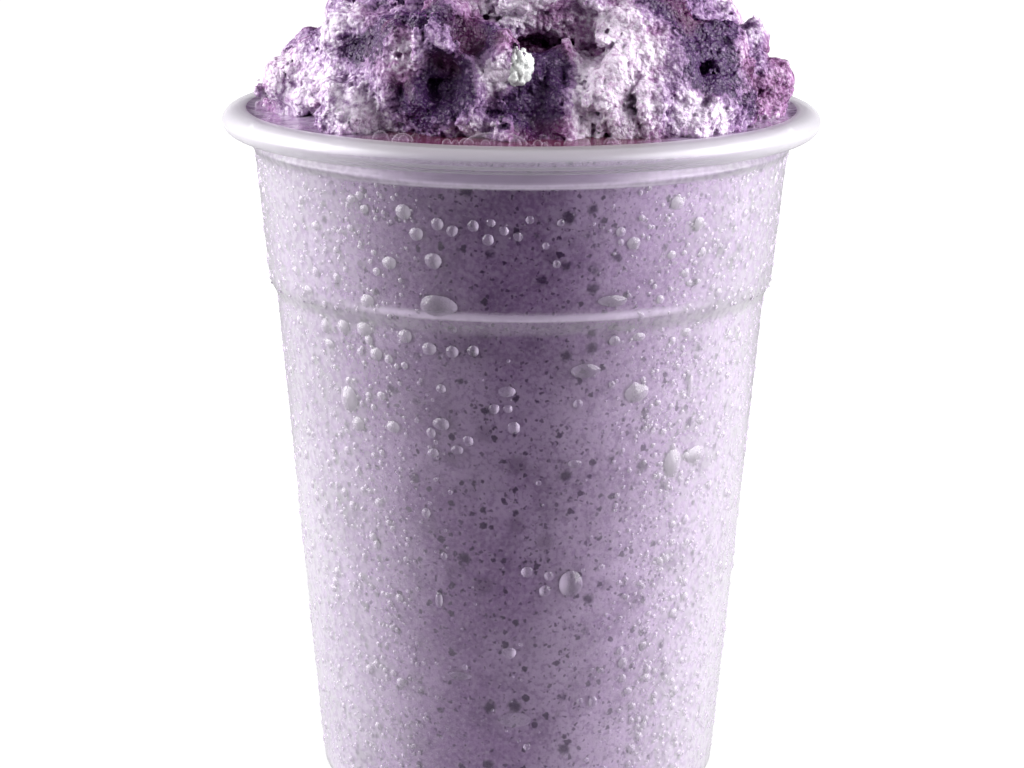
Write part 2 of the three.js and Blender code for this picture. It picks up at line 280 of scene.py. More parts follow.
def wall_line(inwards):
    """The wall's line from the foot to the neck. Inwards is 0 for the outside and WALL for the inside."""
    corner = FOOT_ROUNDING - inwards
    line = arc((FOOT_RADIUS - FOOT_ROUNDING, FOOT_ROUNDING), corner, corner, *FOOT_TURN, FOOT_STEPS)
    for height in np.linspace(ABOVE_FOOT, shoulder_height - BELOW_SHOULDER, LOWER_WALL_STEPS):
        line.append((wall_radius(height) - inwards, height))
    # The shoulder is a soft S-bend from the narrow wall to the wide one.
    bottom, top = shoulder_height - SHOULDER_BEND[0], shoulder_height + SHOULDER_BEND[1]
    low, high = wall_radius(bottom), wall_radius(top)
    for up in np.linspace(0, 1, SHOULDER_STEPS):
        swing = up * up * (3 - 2 * up)
        line.append((low + (high - low) * swing - inwards, bottom + (top - bottom) * up))
    for height in np.linspace(shoulder_height + ABOVE_SHOULDER, bead_height - BELOW_BEAD, UPPER_WALL_STEPS):
        line.append((wall_radius(height) - inwards, height))
    for up in np.linspace(0, 1, BEAD_STEPS):
        height = bead_height - BEAD_START + BEAD_SPAN * up
        proud = BEAD_PROUD * math.sin(math.pi * up) ** 2
        line.append((wall_radius(height) + proud - inwards, height))
    line.append((NECK_RADIUS - inwards, neck_height))
    return line


def turned(profile, sides):
    """Points and four-sided faces of (radius, height) pairs turned about the cup's axis."""
    turns = np.arange(sides) * 2 * math.pi / sides
    r, z = np.array(profile).T
    x = np.outer(r, np.sin(turns))
    y = -np.outer(r, np.cos(turns))
    points = np.stack([x, y, np.broadcast_to(z[:, None], x.shape)], -1).reshape(-1, 3)
    ring, step = np.meshgrid(np.arange(len(r) - 1), np.arange(sides), indexing="ij")
    start = ring * sides + step
    beside = ring * sides + (step + 1) % sides
    faces = np.stack([start, beside, beside + sides, start + sides], -1).reshape(-1, 4)
    return points, faces


def add_piece(name, points, faces, finish, slot, replaced=(), values=()):
    """A smooth mesh from points in millimetres. Values are named numbers for each of its points."""
    mesh = bpy.data.meshes.new(name)
    mesh.from_pydata((np.asarray(points) * MM).tolist(), [], np.asarray(faces).tolist())
    for value_name, value in dict(values).items():
        attribute = mesh.attributes.new(value_name, "FLOAT", "POINT")
        attribute.data.foreach_set("value", np.asarray(value, np.float32))
    shape = bmesh.new()
    shape.from_mesh(mesh)
    bmesh.ops.remove_doubles(shape, verts=shape.verts, dist=1e-7)
    shape.to_mesh(mesh)
    shape.free()
    mesh.polygons.foreach_set("use_smooth", np.ones(len(mesh.polygons), bool))
    mesh.materials.append(finish)
    piece = bpy.data.objects.new(name, mesh)
    bpy.context.scene.collection.objects.link(piece)
    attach(piece, "root")
    if replaced:
        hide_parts(*replaced)


contact = FOOT_RADIUS - FOOT_ROUNDING
contact_inside = contact - CONTACT_WIDTH
floor_radius = contact_inside - RECESS_FLARE - RECESS_FILLET
curl_middle = (curl_centre, RIM_TOP - CURL_HALF_HEIGHT)
cup_profile = [
    (0, BASE_RECESS),
    (contact_inside - RECESS_FLARE, BASE_RECESS),
    (contact_inside - RECESS_FLARE + RECESS_FILLET, BASE_RECESS - RECESS_EDGE),
    (contact_inside, SHORT_OF_FLOOR),
    (contact_inside + CONTACT_BEVEL, 0),
    (contact, 0),
    *wall_line(0),
    *arc(curl_middle, curl_half - WALL, CURL_HALF_HEIGHT - WALL, 180, CURL_END, CURL_STEPS),
    *arc(curl_middle, curl_half, CURL_HALF_HEIGHT, CURL_END, 180, CURL_STEPS),
    *wall_line(WALL)[::-1],
    (floor_radius, BASE_RECESS + WALL),
    (0, BASE_RECESS + WALL),
]


def below_rim(depth):
    """A height in metres, from a depth below the rim's top in millimetres."""
    return (RIM_TOP - depth) * MM


# Fog on the film of plastic: lilac in front, where the slush shines through it, and near white edge-on.
BARE_PLASTIC = colour(0.97, 0.96, 0.98)
FOG = colour(0.46, 0.4, 0.49)
# The fog at the painted highlights of the shoulder and the ledge, and at the paler neck.
FOG_ON_HIGHLIGHTS_AND_NECK = colour(0.81, 0.7, 0.89)
FOG_EDGE_ON = colour(0.46, 0.45, 0.47)
# Painted light: the curl is drawn darker in front and whiter at its sides, where the softboxes light it.
CURL_SHADED_FRONT = colour(0.64, 0.6, 0.68)
CURL_LIT_SIDES = colour(0.86, 0.84, 0.88)
CURL_EDGE_SHADED_FRONT = colour(0.56, 0.54, 0.58)
CURL_EDGE_LIT_SIDES = colour(0.8, 0.78, 0.82)
FOG_ROUGHNESS = 0.4

clear_plastic, w, surface = new_finish("clear_plastic")
where = w.node("TexCoord", output=3)
height = w.node("SeparateXYZ", {}, {0: where}, output=2)
flat = w.node("VectorMath", {"operation": "MULTIPLY"}, {0: where, 1: (1, 1, 0)})
reach = w.node("VectorMath", {"operation": "LENGTH"}, {0: flat}, output=1)
on_curl = height.rise(below_rim(4.9), below_rim(4.1))
# Painted light: this marks the curl's sides, which are drawn whiter where the softboxes light them.
sides = w.maths("ABSOLUTE", w.node("SeparateXYZ", {}, {0: where})).rise(0.012, 0.045)
curl_top = height.rise(below_rim(2.5), below_rim(1.6)) * reach.rise(0.0455, 0.0467)
patchy = w.node("TexNoise", {}, {"Vector": where, "Scale": 55, "Detail": 3})
fine_fog = w.node("TexNoise", {}, {"Vector": where, "Scale": 900, "Detail": 2})
fog = patchy.rise(0.35, 0.75) * 0.05 + 0.02
facing = (w.node("LayerWeight", {}, {"Blend": 0.5}, output=1) - 0.05).most(0)
# Painted highlights on the shoulder's ridge and the ledge's lip are drawn as paler bands of fog; the neck is
# paler too.
shelf_highlight = height.rise(below_rim(28.8), below_rim(28.3)) * height.rise(below_rim(26.6), below_rim(27.8))
ledge_highlight = height.rise(below_rim(32), below_rim(31.6)) * height.rise(below_rim(30.9), below_rim(31.3))
neck = height.rise(below_rim(7.4), below_rim(6.9))
neck = neck * (1 - height.rise(below_rim(6.4), below_rim(5.8)) * 0.15)
highlight_and_neck_bands = (shelf_highlight * 0.8 + ledge_highlight * facing.rise(0, 0.12) * 0.15 + neck).least(1) * facing.rise(0.45, 0.05)
veil = facing ** 0.68 * (fine_fog.rise(0.38, 0.62) * 0.35 + 0.75)
film = (fog + veil + highlight_and_neck_bands * 0.45).least(0.85)
# Painted light: the curl's fog is also drawn thicker at its sides.
film = film + on_curl * (facing.rise(0.35, 0.9) * 0.3 + sides * 0.15 + 0.2 - film)
film = film + curl_top * (0.38 - film)
upright = w.node("CombineXYZ", {}, {2: height})
streaks = w.node("TexNoise", {}, {"Vector": upright, "Scale": 2600, "Detail": 1})
bumps = fine_fog * 0.5 + streaks * on_curl * 0.4
relief = w.node("Bump", {}, {"Strength": 0.25, "Distance": 0.0002, "Height": bumps})
clear = w.node("BsdfTransparent", {}, {"Color": BARE_PLASTIC})
# The painted highlights at the shoulder and the ledge, and the neck, tint the fog paler.
haze = highlight_and_neck_bands.tint(FOG, FOG_ON_HIGHLIGHTS_AND_NECK)
# Painted light: the curl's fog is darker in front and whiter at the sides.
haze = on_curl.tint(haze, sides.tint(CURL_SHADED_FRONT, CURL_LIT_SIDES))
hazy = w.node("BsdfPrincipled", {}, {"Base Color": haze, "Roughness": FOG_ROUGHNESS, "Normal": relief})
white_haze = highlight_and_neck_bands.tint(FOG_EDGE_ON, haze)
# Painted light: the curl's edge-on fog is likewise darker in front and whiter at the sides.
white_haze = on_curl.tint(white_haze, sides.tint(CURL_EDGE_SHADED_FRONT, CURL_EDGE_LIT_SIDES))
paint = {"Base Color": white_haze, "Roughness": FOG_ROUGHNESS, "Normal": relief}
hazy = w.node("MixShader", {}, {0: facing.rise(0, 0.4), 1: hazy, 2: w.node("BsdfPrincipled", {}, paint)})
wall = w.node("MixShader", {}, {0: film, 1: clear, 2: hazy})
gloss = w.node("BsdfGlossy", {}, {"Color": WHITE, "Roughness": 0.3, "Normal": relief})
sheen = w.node("Fresnel", {}, {"IOR": 1.4, "Normal": relief})
# The curl is seen at every angle, so its gloss is held back.
shine = sheen * 0.6
shine = shine + on_curl * (sheen.least(0.3) * 0.5 - shine)
w.tree.links.new(w.node("MixShader", {}, {0: shine, 1: wall, 2: gloss}).socket, surface)
add_piece("clear_cup", *turned(cup_profile, CUP_SIDES), clear_plastic, "clear_cup", ["cup"])


# Slush in the cup: blended ice and fruit, poured in soft, so it wets the whole wall. It is lilac with paler
# and darker swirls, a fine icy grain and many specks of dark fruit skin.
FILL_INTO_WALL = 0.25
FILL_TOP = RIM_TOP - 1.8
DARK_LILAC = colour(0.48, 0.3, 0.57)
LILAC = colour(0.64, 0.465, 0.73)
# Painted light: the paler lilac of the slush where it is lit at the lower right.
LIT_LILAC = colour(0.72, 0.61, 0.77)
CLOUD = colour(0.22, 0.11, 0.29)
PALE_GRAIN = colour(0.74, 0.58, 0.8)
DARK_GRAIN = colour(0.22, 0.09, 0.31)
ICE = colour(0.8, 0.68, 0.86)
PULP = colour(0.12, 0.035, 0.17)
SKIN = colour(0.06, 0.008, 0.1)
# Each kind of speck: how far apart, how large, in what share of the places, how soft, how strong, and
# what it is of.
SPECKS = [
    (1.45, 0.35, 0.4, 0.1, 0.5, ICE),
    (5, 1.8, 0.35, 0.15, 0.45, PULP),
    (0.8, 0.36, 0.6, 0.1, 0.75, SKIN),
    (1.7, 0.68, 0.5, 0.1, 0.95, SKIN),
    (4, 1.15, 0.5, 0.14, 0.95, SKIN),
]


def noise_at(wire, place, wavelength, detail):
    """Noise from 0 to 1 whose largest forms are about as wide as the wavelength in millimetres."""
    inputs = {"Vector": place, "Scale": 1 / (wavelength * MM), "Detail": detail}
    return wire.node("TexNoise", {}, inputs)


def specks(wire, place, spacing, radius, share, blur=0.05):
    """1 in specks up to a radius, in a share of the cells of a loose pattern. All in millimetres."""
    inputs = {"Vector": place, "Scale": 1 / (spacing * MM)}
    gap = wire.node("TexVoronoi", {}, inputs, output=0)
    draw = wire.node("SeparateColor", {}, {0: wire.node("TexVoronoi", {}, inputs, output=1)}, output=0)
    size = (draw - (1 - share)).most(0) * (radius / spacing / share)
    return (size - gap).rise(-0.6 * blur, blur)


slush_in_cup, w, surface = new_finish("slush_in_cup")
where = w.node("TexCoord", output=3)
height = w.node("SeparateXYZ", {}, {0: where}, output=2)
swirl = noise_at(w, where, 16, 3)
cloud = noise_at(w, where, 5, 3)
grain = noise_at(w, where, 0.7, 3)
body = swirl.rise(0.42, 0.6).tint(DARK_LILAC, LILAC)
# Painted light: paler lower down on the right and along the right side, where the sheet and right softbox
# light it.
across = w.node("SeparateXYZ", {}, {0: where}, output=0)
lit_lower_right = height.rise(0.095, 0.07) * across.rise(-0.003, 0.01) * 0.35 + across.rise(0.02, 0.035) * 0.12
body = lit_lower_right.least(0.5).tint(body, LIT_LILAC)
body = (cloud.rise(0.5, 0.66) * 0.35).tint(body, CLOUD)
body = (grain.rise(0.5, 0.68) * 0.45).tint(body, PALE_GRAIN)
body = (grain.rise(0.5, 0.36) * 0.45).tint(body, DARK_GRAIN)
# The specks' outlines are ragged.
wander = w.node("TexNoise", {}, {"Vector": where, "Scale": 1500, "Detail": 1}, output=1)
wander = w.node("VectorMath", {"operation": "SCALE"}, {0: wander, 3: 0.0009})
wobble = w.node("VectorMath", {"operation": "ADD"}, {0: where, 1: wander})
for spacing, radius, share, blur, strength, stuff in SPECKS:
    body = (specks(w, wobble, spacing, radius, share, blur) * strength).tint(body, stuff)
relief = w.node("Bump", {}, {"Strength": 0.3, "Distance": 0.0003, "Height": grain})
wet = {"Base Color": body, "Roughness": 0.5, "Specular IOR Level": 0.1, "Normal": relief}
w.tree.links.new(w.node("BsdfPrincipled", {}, wet).socket, surface)
fill_line = wall_line(WALL - FILL_INTO_WALL)
fill_profile = [
    (0, BASE_RECESS + WALL - FILL_INTO_WALL),
    (floor_radius, BASE_RECESS + WALL - FILL_INTO_WALL),
    *fill_line,
    (fill_line[-1][0], FILL_TOP),
    (0, FILL_TOP),
]
add_piece("slush_in_cup", *turned(fill_profile, CUP_SIDES), slush_in_cup, "slush", ["slush"])


# Heap: the same slush spooned up over the brim. It is coarse, half-melted ice, so it stands in craggy lumps
# with frosty tops, and dark juice has run down into the hollows between them. Painted shade darkens the
# hollows further, and painted light whitens the tops and some flanks.
DOME_MIDDLE = (1.5, 2)
DOME_HALF_WIDTH = 38.5
DOME_HALF_DEPTH = 39.5
DOME_RISE = 25
HEAP_LIMIT = 43.6
HEAP_FLARE = 0.5
FLARE_FROM = 1
FLARE_TO = 5
HEAP_FOOT = -0.8
CLUMP_BLEND = 2.5
HOLLOW_BLEND = 1.5
BACK_CLUMPS = 11
# How far out each row of the back's clumps stands, its least height and its least radius.
BACK_ROWS = ((30.5, 1, 8.8), (23, 12, 10.2))
BACK_VARIES = 2
BACK_TURN = 2
BACK_SWEEP = 176
# Each half: how fine its grid is, and its depth from front to back. They overlap a little in the middle.
HALVES = {"heap_front": (0.34, -45, 3), "heap_back": (0.55, 1, 45)}
GRID_ACROSS = (-46, 46)
GRID_UP = (-1.6, 43)
BAND = 2.2
# Each clump is a ball: x, y and the height of its middle above the rim, and its radius.
CLUMPS = {
    "left_foot": (-33.5, -6, 2.5, 8.3),
    "left_shoulder": (-28.5, -11, 8.5, 7.5),
    "left_leg": (-27, -27, 3, 6),
    "left_slope": (-21, -17.5, 10.5, 8.5),
    "left_crown": (-17, -8, 18, 11.5),
    "spongy_slope": (-20, -19, 9, 11),
    "ball": (-11.5, -26, 8, 11.5),
    "ball_brow": (-15, -31.5, 15, 4.8),
    "ball_cheek": (-4, -32, 10, 5),
    "ball_side": (-19, -30, 9, 4),
    "brow_left": (1.5, -23, 22, 7.4),
    "brow_right": (9.5, -22.5, 21.5, 6.4),
    "middle_foot": (3, -29, 0, 10),
    "right_ridge": (17, -20, 14, 10.5),
    "right_ridge_top": (14, -14, 21, 10),
    "right_front_foot": (20, -25, 4, 11.5),
    "pink_lump": (11.5, -30.5, 9.5, 4.2),
    "right_low": (28, -21, 2, 9.5),
    "grain_lump": (27.5, -16, 7.5, 8.6),
    "right_edge": (37, -4, 3, 7.8),
    "right_crown": (19, 1, 14.5, 11.5),
    "peak": (-2, 3, 20, 17),
}
# Each hollow is an ellipsoid: its middle, then half its width, depth and height.
HOLLOWS = {
    "deep_gap": (1.8, -30, 13.8, 5.4, 6.5, 1.7),
    "second_gap": (11.2, -32, 13.4, 2.1, 5, 2.1),
    "trench": (3.2, -41, 6, 5, 5.5, 7),
    "ball_bowl": (-13, -40, 8.4, 5.8, 6, 5.8),
    "ball_hole": (-14.2, -35.5, 7.8, 1, 3, 1.4),
    "smooth_pit": (-27.3, -28, 12.6, 2.2, 3, 3.2),
    "open_pool": (-36, -21, -1, 8.5, 7.5, 4.5),
    "foot_cave": (-30.5, -22, 2.2, 1.6, 3, 1.1),
    "crevice": (16.5, -38, 4.5, 0.8, 3, 3.6),
    "purple_bay": (26, -17, 18.5, 6, 5, 3.2),
    "grain_hollow": (28, -26, 8.5, 3.4, 1.6, 2.6),
    "edge_slot": (37, -15.5, 7, 1.6, 4, 5),
    "right_slope": (43, -5, 14.5, 5, 10, 5),
}
# Juice with painted shade darkens some places, and frost with painted light whitens others: their middle,
# how far they reach, and how strongly, below 0 for frost and painted light and above 0 for juice and painted
# shade.
STAINS_AND_PAINTED_SHADE = {
    "dark_middle": (3, -36, 3, 6.5, 1.8),
    "ball_bowl": (-14, -37, 7.5, 6.5, 1.7),
    "ball_foot": (-8, -36, 5, 4, 0.4),
    "gap_floor": (4, -34, 11, 4.5, 2.3),
    "gap_lip": (10, -32, 11.5, 3.5, -0.8),
    "crown_shade": (-15, -34, 18, 6, 1.2),
    "ball_crown": (-5, -34.5, 15, 5, 1.7),
    "slope_shade": (-21.5, -31, 16.5, 5.5, 2),
    "crown_frost_and_light": (-29, -24, 17, 5, -0.5),
    "purple_bay": (26, -21, 18.5, 9, 1.9),
    "under_bay": (28, -20, 13, 6, 1.2),
    "grain_hollow": (29, -28.5, 9.5, 5.2, 2.3),
    "grain_shade": (32, -24, 6, 6, 0.5),
    "foot_shade": (30, -31, 8.5, 3, 1),
    "edge_slot": (36, -18, 6, 6, 1),
    "smooth_pit": (-27.3, -27, 12.8, 2.8, 1.6),
    "foot_cave": (-31, -24, 2, 3, 0.8),
    "front_foot": (-8, -40, 0, 7, -0.4),
    "left_frost_and_light": (-32, -24, 6, 8, -0.6),
    "left_edge": (-37, -12, 3, 8, -0.5),
    "leg_frost_and_light": (-25.5, -32, 2, 6, -0.7),
    "ridge_frost_and_light": (15, -29, 15, 8, -0.8),
    "right_frost_and_light": (17, -34, 10.5, 6, -0.8),
    "pink_lump": (10, -35, 4.5, 7, -1.1),
    "right_foot": (14.5, -37, 2, 7, -1.4),
    "foot_frost_and_light": (28, -31, 2.5, 6, -1.6),
    "ball_top": (-17, -34.5, 12.8, 4.5, -1.5),
    "ball_side": (-4, -36, 10.5, 4, -1.4),
    "brow_frost_and_light": (-1, -30, 21, 6, -1.3),
}
# Crags are ridged noise: how wide and how high.
CRAGS = [(9, 1.7), (4.6, 1.0), (2.4, 0.5)]
CRAG_SHIFT = 17.3
# Crystals and pits are random cells: the crystals' width, how proud they stand and how deep the gaps
# between them are, and the pits' width and depth. The rest of the cells have no pit.
CRYSTALS = [(2.1, 0.3, 0.2), (1, 0.36, 0.3)]
CRYSTAL_EDGE = 0.3
PIT_WIDTH = 1.6
PIT_DEPTH = 0.7
PIT_EDGE = 0.4
PIT_SHIFT = 50
UNPITTED_SHARE = 0.85
# How soft the edges of the stains, with their painted shade and light, are.
STAIN_AND_SHADE_EDGE = 1.3


def lattice_value(x, y, z):
    """A fixed random value from 0 to 1 for each point of a whole-number lattice."""
    x, y, z = (np.asarray(c).astype(np.int64).astype(np.uint32) for c in (x, y, z))
    with np.errstate(over="ignore"):
        mixed = x * np.uint32(374761393) ^ y * np.uint32(668265263) ^ z * np.uint32(1440670441)
        mixed = (mixed ^ (mixed >> np.uint32(13))) * np.uint32(1274126177)
    return ((mixed ^ (mixed >> np.uint32(16))) / 4294967296).astype(np.float32)


def blend_along(values, places, axis):
    """For places along one axis of a lattice: the value below, the rise to the next, and how far along."""
    cell = np.floor(places).astype(int)
    shape = [1, 1, 1]
    shape[axis] = -1
    part = (places - cell).astype(np.float32).reshape(shape)
    low = np.take(values, cell, axis)
    return low, np.take(values, np.minimum(cell + 1, values.shape[axis] - 1), axis) - low, part


def ridged_noise(axes, width, shift):
    """Ridges and bowls from -0.5 to 1.5 about as wide as the width, on a grid given by its three axes."""
    places = [axis / width + shift for axis in axes]
    firsts = [int(math.floor(place.min())) for place in places]
    spans = [np.arange(first, int(math.floor(place.max())) + 2) for first, place in zip(firsts, places)]
    value = lattice_value(*np.ix_(*spans))
    for axis in range(3):
        low, rise, part = blend_along(value, places[axis] - firsts[axis], axis)
        value = low + rise * (part ** 3 * (part * (part * 6 - 15) + 10))
    return np.abs(2 * value - 1) * 2 - 0.5


def smooth_least(a, b, blend):
    share = np.clip(0.5 + 0.5 * (b - a) / blend, 0, 1)
    return b + (a - b) * share - blend * share * (1 - share)


def back_clumps():
    """Balls in two staggered rows for the back, which the picture doesn't show."""
    for i in range(BACK_CLUMPS):
        turn = math.radians(BACK_TURN + BACK_SWEEP * (i + 0.5) / BACK_CLUMPS)
        reach, high, least = BACK_ROWS[i % 2]
        rise = high + BACK_VARIES * float(lattice_value(i, 3, 0))
        radius = least + BACK_VARIES * float(lattice_value(i, 5, 0))
        yield reach * math.cos(turn), reach * math.sin(turn), rise, radius


def heap_distance(axes):
    """Distance outwards from the heap's skin, and from its bare clumps, on a grid given by its axes."""
    x, y, z = np.ix_(*(axis.astype(np.float32) for axis in axes))
    across, depth = (x - DOME_MIDDLE[0]) / DOME_HALF_WIDTH, (y - DOME_MIDDLE[1]) / DOME_HALF_DEPTH
    bare = (np.sqrt(across ** 2 + depth ** 2 + (z / DOME_RISE) ** 2) - 1) * DOME_RISE
    for across, depth, high, radius in [*CLUMPS.values(), *back_clumps()]:
        ball = np.sqrt((x - across) ** 2 + (y - depth) ** 2 + (z - high) ** 2) - radius
        bare = smooth_least(bare, ball, CLUMP_BLEND)
    crags = []
    for i, (width, high) in enumerate(CRAGS):
        crags.append(high * ridged_noise(axes, width, CRAG_SHIFT * (i + 1)))
    skin = bare - crags[0]
    for across, depth, high, a, b, c in HOLLOWS.values():
        inside = np.sqrt(((x - across) / a) ** 2 + ((y - depth) / b) ** 2 + ((z - high) / c) ** 2)
        skin = -smooth_least(-skin, (inside - 1) * min(a, b, c), HOLLOW_BLEND)
    skin = skin - sum(crags[1:])
    limit = HEAP_LIMIT + HEAP_FLARE * np.clip(z - FLARE_FROM, 0, FLARE_TO - FLARE_FROM)
    skin = np.maximum(skin, np.sqrt(x * x + y * y) - limit)
    return np.maximum(skin, HEAP_FOOT - z), bare


def crystal_cells(points, width):
    """For points in a loose pattern of cells: a random draw for the cell, and how far in from its edge."""
    places = points / width
    cells = np.floor(places).astype(np.int64)
    nearest = np.full(len(points), np.inf, np.float32)
    second = nearest.copy()
    draw = np.zeros(len(points), np.float32)
    for step in np.ndindex(3, 3, 3):
        cell = cells + step - 1
        x, y, z = cell.T
        gap = np.zeros(len(points), np.float32)
        for axis in range(3):
            middle = cell[:, axis] + lattice_value(x, y, z + 101 * (axis + 1))
            gap += (middle - places[:, axis]) ** 2
        gap = np.sqrt(gap)
        closer = gap < nearest
        second = np.where(closer, nearest, np.minimum(second, gap))
        draw = np.where(closer, lattice_value(x, y, z + 404), draw)
        nearest = np.where(closer, gap, nearest)
    return draw, second - nearest


def surface_net(field, axes):
    """The zero surface of a field on a grid, as points and four-sided faces, with no stair steps."""
    inside = field < 0
    size = np.array(field.shape)
    corners = list(np.ndindex(2, 2, 2))
    count = np.zeros(size - 1, np.uint8)
    for i, j, k in corners:
        count += inside[i:size[0] - 1 + i, j:size[1] - 1 + j, k:size[2] - 1 + k]
    mixed = (count > 0) & (count < 8)
    cells = np.argwhere(mixed)
    index = np.full(mixed.shape, -1, np.int64)
    index[mixed] = np.arange(len(cells))
    value = {corner: field[tuple((cells + corner).T)] for corner in corners}
    total = np.zeros((len(cells), 3))
    crossings = np.zeros(len(cells))
    for corner in corners:
        for axis in range(3):
            if corner[axis]:
                continue
            end = tuple(1 if i == axis else c for i, c in enumerate(corner))
            crossed = (value[corner] < 0) != (value[end] < 0)
            spot = np.tile(np.array(corner, float), (len(cells), 1))
            spot[:, axis] = value[corner] / np.where(crossed, value[corner] - value[end], 1)
            total += spot * crossed[:, None]
            crossings += crossed
    step = axes[0][1] - axes[0][0]
    points = np.array([axis[0] for axis in axes]) + (cells + total / crossings[:, None]) * step
    faces = []
    for axis in range(3):
        low, high = (np.take(inside, range(start, size[axis] - 1 + start), axis) for start in (0, 1))
        across, along = (axis + 1) % 3, (axis + 2) % 3
        edges = np.argwhere(low != high)
        for side in (across, along):
            edges = edges[(edges[:, side] > 0) & (edges[:, side] < size[side] - 1)]
        around = []
        for back in ((1, 1), (0, 1), (0, 0), (1, 0)):
            cell = edges.copy()
            cell[:, across] -= back[0]
            cell[:, along] -= back[1]
            around.append(index[tuple(cell.T)])
        face = np.stack(around, 1)
        outwards = low[tuple(edges.T)]
        faces.append(np.where(outwards[:, None], face, face[:, ::-1]))
    return points, np.concatenate(faces)


def grid_at(field, axes, points):
    """A field's value at points, blended between the grid's."""
    step = axes[0][1] - axes[0][0]
    place = (points - [axis[0] for axis in axes]) / step
    # A point on the last plane counts as just inside it.
    place = np.clip(place, 0, np.array(field.shape) - 1.001)
    cell = np.floor(place).astype(int)
    part = place - cell
    total = 0
    for corner in np.ndindex(2, 2, 2):
        share = np.prod(np.where(corner, part, 1 - part), axis=1)
        total = total + share * field[tuple((cell + corner).T)]
    return total


def stained_and_shaded(points):
    """How much juice and painted shade, above 0, and frost and painted light, below 0, the stains put at
    each point.
    """
    total = np.zeros(len(points))
    for across, depth, high, reach, strength in STAINS_AND_PAINTED_SHADE.values():
        gap = np.linalg.norm(points - (across, depth, high), axis=1) / reach
        total += strength * np.clip(STAIN_AND_SHADE_EDGE - gap, 0, 1)
    return total


def heap_part(voxel, front, back):
    """Points and faces of the heap's skin between two depths. With each point comes how far out it lies from
    the bare clumps, and how far the crystals lift it."""
    coarse = [np.arange(low, high, 2 * voxel) for low, high in (GRID_ACROSS, (front, back), GRID_UP)]
    skin, bare = heap_distance(coarse)
    fine = [axis[0] + voxel * np.arange(2 * len(axis) - 1) for axis in coarse]
    for axis in range(3):
        low, rise, part = blend_along(skin, np.arange(2 * len(coarse[axis]) - 1) / 2, axis)
        skin = low + rise * part
    near = np.argwhere(np.abs(skin) < BAND)
    points = near * voxel + [axis[0] for axis in fine]
    change = np.zeros(len(points), np.float32)
    for width, proud, gap in CRYSTALS:
        draw, edge = crystal_cells(points, width)
        change += proud * (draw - 0.5) - gap * np.clip(1 - edge / CRYSTAL_EDGE, 0, 1)
    draw, edge = crystal_cells(points + PIT_SHIFT, PIT_WIDTH)
    change -= PIT_DEPTH * (draw > UNPITTED_SHARE) * np.clip(edge / PIT_EDGE, 0, 1)
    moved = np.zeros(skin.shape, np.float32)
    moved[tuple(near.T)] = change
    skin = np.maximum(skin - moved, HEAP_FOOT - fine[2][None, None, :])
    points, faces = surface_net(skin, fine)
    return points, faces, grid_at(bare, coarse, points), grid_at(moved, fine, points)


DARK_FLESH = colour(0.25, 0.14, 0.3)
PINK_FLESH = colour(0.31, 0.145, 0.31)
BLUE_JUICE = colour(0.04, 0.009, 0.068)
RED_JUICE = colour(0.068, 0.008, 0.06)
FROST = colour(0.8, 0.7, 0.83)
GLINT = colour(0.6, 0.45, 0.68)

crushed_ice, w, surface = new_finish("crushed_ice")
where = w.node("TexCoord", output=3)
sunk = w.node("Attribute", {"attribute_name": "sunk"}, {}, output=2)
proud = w.node("Attribute", {"attribute_name": "proud"}, {}, output=2)
stain_and_shade = w.node("Attribute", {"attribute_name": "stained_and_shaded"}, {}, output=2)
grain = noise_at(w, where, 0.8, 4)
patch = noise_at(w, where, 6, 4)
# Juice gathers low down between the clumps, at the stains and in patches, and frost on the crystals' tips.
# Painted shade darkens the low places, gaps and shade stains further; painted light whitens the tips and
# frost stains.
wetness_and_shade = (sunk * 0.4 + stain_and_shade * 2.2 + (patch - 0.5) * 2.6 - proud * 1.2).least(1.9).most(-1.35)
wetness_and_shade = wetness_and_shade + (grain - 0.5) * 5.5
# Painted light and painted shade: the frost and juice masks below carry both.
frost_and_light = wetness_and_shade.rise(0.4, -2)
deep = wetness_and_shade.rise(0.2, 1.7)
tone = noise_at(w, where, 11, 1)
flesh = tone.rise(0.42, 0.6).tint(DARK_FLESH, PINK_FLESH)
juice = tone.rise(0.45, 0.6).tint(BLUE_JUICE, RED_JUICE)
body = frost_and_light.tint(flesh, FROST)
body = deep.tint(body, juice)
body = (specks(w, where, 0.7, 0.3, 0.6) * (0.4 - deep * 0.25)).tint(body, GLINT)
crystals = w.node("TexVoronoi", {}, {"Vector": where, "Scale": 1500})
bumps = noise_at(w, where, 0.5, 3) - crystals * 0.5
relief = w.node("Bump", {}, {"Strength": 1, "Distance": 0.0005, "Height": bumps})
wet = {
    "Base Color": body,
    "Roughness": 0.26,
    "Specular IOR Level": 0.4,
    "Normal": relief,
    "Subsurface Weight": 0.3,
    "Subsurface Radius": (1, 0.7, 1),
    "Subsurface Scale": 0.0016,
}
w.tree.links.new(w.node("BsdfPrincipled", {}, wet).socket, surface)
heap_skins = {}
for name, (voxel, front, back) in HALVES.items():
    points, faces, below, out = heap_part(voxel, front, back)
    heap_skins[name] = points
    values = {"sunk": -below, "proud": out, "stained_and_shaded": stained_and_shaded(points)}
    add_piece(name, points + [0, 0, RIM_TOP], faces, crushed_ice, "slush", ["slush"], values)


